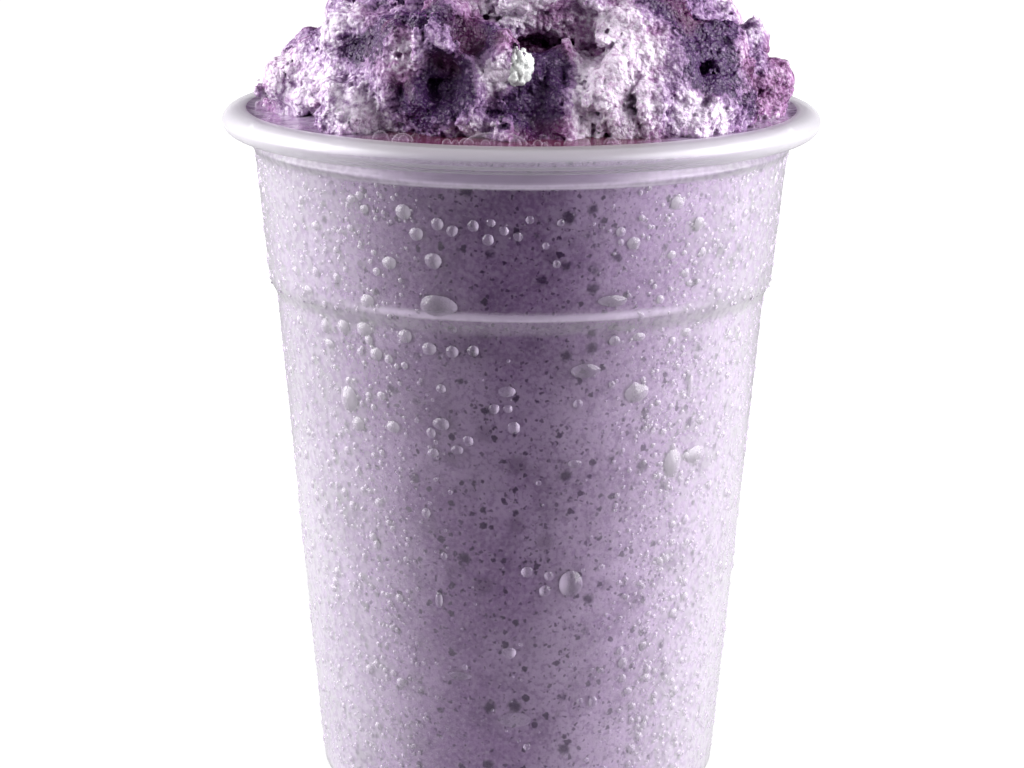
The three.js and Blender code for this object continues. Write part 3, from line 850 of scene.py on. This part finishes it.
# Melt: juice that has run off the heap and stands level with the brim around its foot. It is a thin maroon
# syrup in front and milky lilac where froth has dissolved in it, at the sides.
MELT_LEVEL = -0.4
MELT_DEPTH = 2.6
MELT_INNER = 30
MELT_RINGS = 40
MELT_EDGE_RINGS = 8
CREEP_UP_WALL = 0.45
CREEP_IN_WALL = 0.4
WALL_CREEP_WIDTH = 0.5
CREEP_UP_HEAP = 0.8
HEAP_CREEP_FROM = 36
HEAP_CREEP_WIDTH = 3
SYRUP = colour(0.11, 0.025, 0.06)
DARK_MILK = colour(0.27, 0.18, 0.32)
PALE_MILK = colour(0.48, 0.4, 0.53)
JUICE_IOR = 1.36


def melt_edge(height):
    """Radius of the brim's inner face at a height from the rim's top, a little way into the plastic."""
    share = np.clip((height + CURL_HALF_HEIGHT) / CURL_HALF_HEIGHT, -1, 1)
    bulge = (curl_half - WALL) * np.sqrt(1 - share ** 2)
    return np.where(height > -CURL_HALF_HEIGHT, curl_centre - bulge, NECK_RADIUS - WALL) + FILL_INTO_WALL


melt_rows = []
melt_edge_top = MELT_LEVEL + CREEP_UP_WALL * CREEP_IN_WALL
for height in np.linspace(-MELT_DEPTH, melt_edge_top, MELT_EDGE_RINGS):
    melt_rows.append((float(melt_edge(height)), height))
outer = melt_rows[-1][0]
for radius in np.linspace(outer, MELT_INNER, MELT_RINGS)[1:]:
    creep = CREEP_UP_WALL * math.exp((radius - outer) / WALL_CREEP_WIDTH)
    creep += CREEP_UP_HEAP * math.exp((HEAP_CREEP_FROM - radius) / HEAP_CREEP_WIDTH)
    melt_rows.append((radius, MELT_LEVEL + min(creep, CREEP_UP_HEAP)))
melt_rows.append((MELT_INNER, -MELT_DEPTH))
melt_rows.append(melt_rows[0])

juice, w, surface = new_finish("juice")
where = w.node("TexCoord", output=3)
across = w.node("SeparateXYZ", {}, {0: where}, output=0)
cloud = noise_at(w, where, 9, 3)
streak = noise_at(w, where, 2.2, 3)
milky = (w.maths("ABSOLUTE", across) + (cloud - 0.5) * 0.02).rise(0.016, 0.027)
milk = streak.rise(0.4, 0.65).tint(DARK_MILK, PALE_MILK)
body = (milky * 0.92).tint(SYRUP, milk)
ripple = w.node("Bump", {}, {"Strength": 0.25, "Distance": 0.0005, "Height": streak})
syrup = {"Base Color": body, "Roughness": 0.12, "Normal": ripple, "IOR": JUICE_IOR}
w.tree.links.new(w.node("BsdfPrincipled", {}, syrup).socket, surface)
points, faces = turned([(radius, RIM_TOP + height) for radius, height in melt_rows], CUP_SIDES)
add_piece("melt", points, faces, juice, "melt", ["melt"])


# Froth: bubbles whipped into the slush, left along the edge of the melt and on the heap's foot above it.
# They are thin shells of milky juice, clear in the middle and pale at the edge.
FLOATING_BUBBLES = 260
# The least radius, and how much larger some are.
FLOATING_RADIUS = (0.3, 0.8)
FLOAT_OUT_TO = 43.8
FLOAT_WIDTH = 4.5
FLOAT_RISE = 0.2
CLINGING_BUBBLES = 420
CLINGING_RADIUS = (0.25, 0.5)
CLING_BELOW = 3.2
BUBBLE_FILM = colour(0.98, 0.93, 0.98)
BUBBLE_EDGE = colour(0.82, 0.74, 0.86)
# The large ones: x, y, and half their width, depth and height.
LARGE_BUBBLES = [
    (8.7, -41.2, 2.1, 1.4, 1.4), (-4, -41, 5, 2, 1.9), (-8.5, -41.4, 1.2, 1, 1),
    (-18.5, -38.4, 1.7, 1.3, 1.3), (-22, -36.6, 1.3, 1.1, 1.4), (-27.5, -33.5, 1.2, 1.2, 1.3),
    (14, -40.4, 1.2, 1, 1.1), (20.6, -37.6, 1.3, 1, 1),
]


def joined(shapes):
    """One mesh's points and faces from those of many."""
    points, faces, count = [], [], 0
    for some_points, some_faces in shapes:
        points.append(some_points)
        faces.append(np.asarray(some_faces) + count)
        count += len(some_points)
    return np.concatenate(points), np.concatenate(faces)


def ball(sides):
    line = [(math.sin(a), -math.cos(a)) for a in np.linspace(0, math.pi, sides // 2 + 1)]
    return turned(line, sides)


def bubble(middle, half, sides):
    points, faces = ball(sides)
    return points * half + middle, faces


froth, w, surface = new_finish("froth")
facing = w.node("LayerWeight", {}, {"Blend": 0.5}, output=1)
clear = w.node("BsdfTransparent", {}, {"Color": BUBBLE_FILM})
shell = w.node("BsdfPrincipled", {}, {"Base Color": BUBBLE_EDGE, "Roughness": 0.15, "IOR": JUICE_IOR})
whole = w.node("MixShader", {}, {0: facing ** 3 * 0.5 + 0.03, 1: clear, 2: shell})
w.tree.links.new(whole.socket, surface)

froth_rng = np.random.default_rng(5)
melt_top = RIM_TOP + MELT_LEVEL
bubbles = [bubble((x, y, melt_top), (a, b, c), 28) for x, y, a, b, c in LARGE_BUBBLES]
for count in range(FLOATING_BUBBLES):
    turn = froth_rng.uniform(0, 2 * math.pi)
    size = FLOATING_RADIUS[0] + FLOATING_RADIUS[1] * froth_rng.random() ** 3
    reach = FLOAT_OUT_TO - size - FLOAT_WIDTH * froth_rng.random() ** 2
    place = (reach * math.cos(turn), reach * math.sin(turn), melt_top + FLOAT_RISE * size)
    bubbles.append(bubble(place, (size, size, size), 12))
near_foot = heap_skins["heap_front"]
near_foot = near_foot[near_foot[:, 2] < CLING_BELOW]
for place in near_foot[froth_rng.integers(0, len(near_foot), CLINGING_BUBBLES)]:
    size = CLINGING_RADIUS[0] + CLINGING_RADIUS[1] * froth_rng.random() ** 2
    bubbles.append(bubble(place + (0, 0, RIM_TOP), (size, size, size), 10))
add_piece("froth", *joined(bubbles), froth, "melt")


# Ice lump: one piece of shaved ice that the juice hasn't stained, greenish white and grainy, stuck in the
# heap's front. Its crystals stand out all over it.
ICE_LUMP_SIDES = 60
LUMP_CRYSTAL = 1.3
LUMP_SHIFT = (40, 0, 0)
LUMP_SIZE = 0.96
LUMP_PROUD = 0.26
LUMP_GAP = 0.14
LUMP_EDGE = 0.35
GREY_ICE = colour(0.6, 0.62, 0.615)
WHITE_ICE = colour(0.88, 0.89, 0.885)

clean_ice, w, surface = new_finish("clean_ice")
where = w.node("TexCoord", output=3)
grain = noise_at(w, where, 0.6, 3)
body = grain.rise(0.3, 0.65).tint(GREY_ICE, WHITE_ICE)
relief = w.node("Bump", {}, {"Strength": 0.9, "Distance": 0.0004, "Height": grain})
icy = {"Base Color": body, "Roughness": 0.25, "Normal": relief}
w.tree.links.new(w.node("BsdfPrincipled", {}, icy).socket, surface)
low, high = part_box("ice_lump")
ice_middle = [(a + b) / 2 / MM for a, b in zip(low, high)]
ice_half = [(b - a) / 2 / MM for a, b in zip(low, high)]
points, faces = ball(ICE_LUMP_SIDES)
draw, edge = crystal_cells(points * ice_half + LUMP_SHIFT, LUMP_CRYSTAL)
lumpy = LUMP_SIZE + LUMP_PROUD * (draw - 0.5) - LUMP_GAP * np.clip(1 - edge / LUMP_EDGE, 0, 1)
points = points * ice_half * lumpy[:, None] + ice_middle
add_piece("ice_lump", points, faces, clean_ice, "ice", ["ice_lump"])


# Condensation: water beads on the cold wall, fine as dew over the flanks, and sparser with larger drops in
# front, where some have run together. They are clear, with a bright edge on the side away from the light.
# The strewn ones: how many, the least width, how much wider some are, and how many sides and rings.
STREWN = {
    "mist": (6500, 0.3, 0.2, 5, 1),
    "dew": (6500, 0.45, 0.5, 6, 2),
    "beads": (1000, 0.85, 0.9, 12, 3),
}
STREWN_UNEVEN = 0.1
# The sine of the turn from the front at which drops begin, and at which they are thickest.
BARE_FRONT = (0.3, 0.6)
BARE_SHARE = 0.03
DROP_SINK = 0.03
DROP_BACK = 0.02
DROP_RISE = 0.21
LOWEST_DROP = 4
HIGHEST_DROP = 105
PLACED_SIDES = 28
PLACED_RINGS = 7
PLACED_UNEVEN = 0.12
LEAST_FORESHORTENING = 0.4
WALL_ROUNDS = 8
# The drops large enough to place, by the picture's column and row, and their width and height in pixels.
LARGE_DROPS = [
    (403, 212, 16, 16), (416, 234, 14, 14), (389, 263, 14, 14), (433, 261, 17, 17), (437, 224, 13, 13),
    (452, 231, 12, 12), (473, 226, 12, 12), (491, 223, 9, 9), (504, 231, 10, 10), (488, 240, 12, 12),
    (438, 306, 38, 22), (367, 301, 14, 14), (307, 290, 10, 10), (364, 329, 16, 16), (343, 327, 12, 16),
    (325, 326, 9, 16), (405, 336, 14, 14), (429, 349, 14, 14), (452, 352, 13, 13), (473, 351, 12, 12),
    (452, 329, 10, 10), (376, 354, 13, 13), (329, 344, 10, 10), (364, 209, 9, 9), (351, 199, 9, 9),
    (315, 226, 9, 9), (349, 399, 17, 27), (358, 424, 12, 15), (393, 427, 13, 13), (441, 424, 17, 13),
    (457, 450, 13, 10), (433, 453, 12, 10), (468, 441, 11, 11), (507, 392, 17, 12), (494, 409, 11, 11),
    (508, 409, 9, 9), (514, 428, 13, 13), (441, 389, 10, 10), (637, 393, 25, 18), (673, 463, 17, 29),
    (578, 404, 10, 10), (575, 464, 15, 9), (615, 341, 11, 11), (639, 337, 13, 9), (687, 332, 9, 9),
    (586, 371, 30, 15), (613, 301, 30, 12), (691, 386, 5, 25), (696, 454, 18, 18), (634, 243, 13, 13),
    (621, 232, 10, 10), (678, 203, 14, 14), (699, 224, 9, 16), (546, 246, 8, 8), (518, 237, 10, 10),
    (530, 220, 9, 9), (561, 223, 8, 8), (672, 255, 9, 9), (571, 584, 25, 27), (527, 572, 12, 12),
    (549, 576, 10, 10), (545, 591, 12, 12), (509, 653, 15, 12), (459, 676, 25, 9), (515, 720, 32, 16),
    (333, 588, 8, 8), (439, 600, 8, 16), (527, 747, 8, 8), (623, 663, 10, 12), (628, 691, 8, 8),
    (646, 678, 10, 10), (580, 701, 7, 7), (593, 702, 9, 12),
]
drop_rng = np.random.default_rng(11)


def wall_spot(column, row):
    """Where the picture's pixel falls on the wall: the turn from the front, height, and size of a pixel."""
    focal = LENS / SENSOR * PICTURE_WIDTH
    eye = camera.matrix_world.translation / MM
    right = (column - PICTURE_WIDTH / 2 - AXIS_RIGHT_OF_CENTRE * PICTURE_WIDTH) / focal
    ray = camera.matrix_world.to_3x3() @ Vector((right, (PICTURE_HEIGHT / 2 - row) / focal, -1))
    radius = FOOT_RADIUS
    # The wall tapers, so its radius at the spot is found in a few rounds.
    for step in range(WALL_ROUNDS):
        a, b = ray.xy.length_squared, eye.xy.dot(ray.xy)
        away = (-b - math.sqrt(max(0, b * b - a * (eye.xy.length_squared - radius ** 2)))) / a
        spot = eye + ray * away
        radius = float(wall_radius(spot.z))
    return math.atan2(spot.x, -spot.y), spot.z, away / focal


def drop_shape(turn, height, width, length, sides, rings, uneven):
    """Points and faces of a closed drop on the wall, domed outwards, with its back just in the plastic."""
    angles = np.arange(sides) * 2 * math.pi / sides
    wobble = 1
    for order in (2, 3, 5):
        strength = uneven * drop_rng.uniform(-1, 1) / order
        wobble = wobble + strength * np.cos(order * angles + drop_rng.uniform(0, 6.3))
    points = []
    for step in range(rings + 1):
        out = math.cos(step / rings * math.pi / 2)
        rise = math.sin(step / rings * math.pi / 2) ** 2 * DROP_RISE * min(width, length)
        size = out * wobble if step < rings else np.zeros(1)
        around = angles if step < rings else np.zeros(1)
        across = width / 2 * size * np.sin(around)
        up = height + length / 2 * size * np.cos(around)
        wall = wall_radius(up) - DROP_SINK
        spin = turn + across / wall
        points.append(np.stack([(wall + rise) * np.sin(spin), -(wall + rise) * np.cos(spin), up], -1))
    wall = wall_radius(height) - DROP_SINK - DROP_BACK
    points.append(np.array([[wall * math.sin(turn), -wall * math.cos(turn), height]]))
    tip, back = rings * sides, rings * sides + 1
    faces = []
    for i in range(sides):
        j = (i + 1) % sides
        faces.append((back, i, j))
        for ring in range(rings - 1):
            a, b = ring * sides + i, ring * sides + j
            faces.append((a, b, b + sides))
            faces.append((a, b + sides, a + sides))
        faces.append(((rings - 1) * sides + i, (rings - 1) * sides + j, tip))
    return np.concatenate(points), np.array(faces)[:, ::-1]


def placed_drop(column, row, width, height):
    """A drop as large as it looks in the picture, on the wall at its place there."""
    turn, up, scale = wall_spot(column, row)
    across = width * scale / max(LEAST_FORESHORTENING, math.cos(turn))
    return drop_shape(turn, up, across, height * scale, PLACED_SIDES, PLACED_RINGS, PLACED_UNEVEN)


def strewn(count, least, spread, sides, rings):
    """Drops all round the wall, thick on the flanks and rare on the middle of the front and back."""
    shapes = []
    low, high = BARE_FRONT
    while len(shapes) < count:
        turn = math.radians(drop_rng.uniform(-180, 180))
        flank = np.clip((abs(math.sin(turn)) - low) / (high - low), 0, 1)
        if drop_rng.random() < BARE_SHARE + (1 - BARE_SHARE) * flank:
            size = least + spread * drop_rng.random() ** 2
            length = size * drop_rng.uniform(0.9, 1.15)
            height = drop_rng.uniform(LOWEST_DROP, HIGHEST_DROP)
            shapes.append(drop_shape(turn, height, size, length, sides, rings, STREWN_UNEVEN))
    return shapes


# Painted light: a drop is drawn lilac in front and whiter on the flanks, where the softboxes light it. The
# turn
# from the front is taken from its place: metres across times this are about the turn's sine.
SINE_PER_METRE = 24
SHADED_DROP = colour(0.8, 0.66, 0.89)
LIT_DROP = colour(0.88, 0.81, 0.92)

water, w, surface = new_finish("water")
where = w.node("TexCoord", output=3)
place = w.node("SeparateXYZ", {}, {0: where}, output=0)
lean = w.node("SeparateXYZ", {}, {0: w.node("TexCoord", output=1)}, output=0)
sine = place * SINE_PER_METRE
# Light that enters a drop gathers at its far edge, which is towards the middle of the front.
far_edge = w.maths("SIGN", place) * (sine - lean)
flank = w.maths("ABSOLUTE", sine).rise(0.15, 0.6)
clear = w.node("BsdfTransparent", {}, {"Color": WHITE})
# Painted light: the drop's pale part is whiter on the flanks, where the softboxes light it.
paint = {"Base Color": flank.tint(SHADED_DROP, LIT_DROP), "Roughness": 0.5, "Specular IOR Level": 0.1}
bright = w.node("BsdfPrincipled", {}, paint)
gloss = w.node("BsdfGlossy", {}, {"Color": WHITE, "Roughness": 0.18})
# Painted light: more of each drop is drawn pale on the flanks, where the softboxes light it.
lit = far_edge.rise(0, 0.8) * (0.62 - flank * 0.3) + flank * 0.18 + 0.1
inner = w.node("MixShader", {}, {0: lit, 1: clear, 2: bright})
sheen = w.node("Fresnel", {}, {"IOR": 1.33})
w.tree.links.new(w.node("MixShader", {}, {0: sheen * 0.6 + 0.01, 1: inner, 2: gloss}).socket, surface)

add_piece("mist", *joined(strewn(*STREWN["mist"])), water, "clear_cup")
add_piece("dew", *joined(strewn(*STREWN["dew"])), water, "clear_cup")
drops = strewn(*STREWN["beads"]) + [placed_drop(*drop) for drop in LARGE_DROPS]
add_piece("drops", *joined(drops), water, "clear_cup")
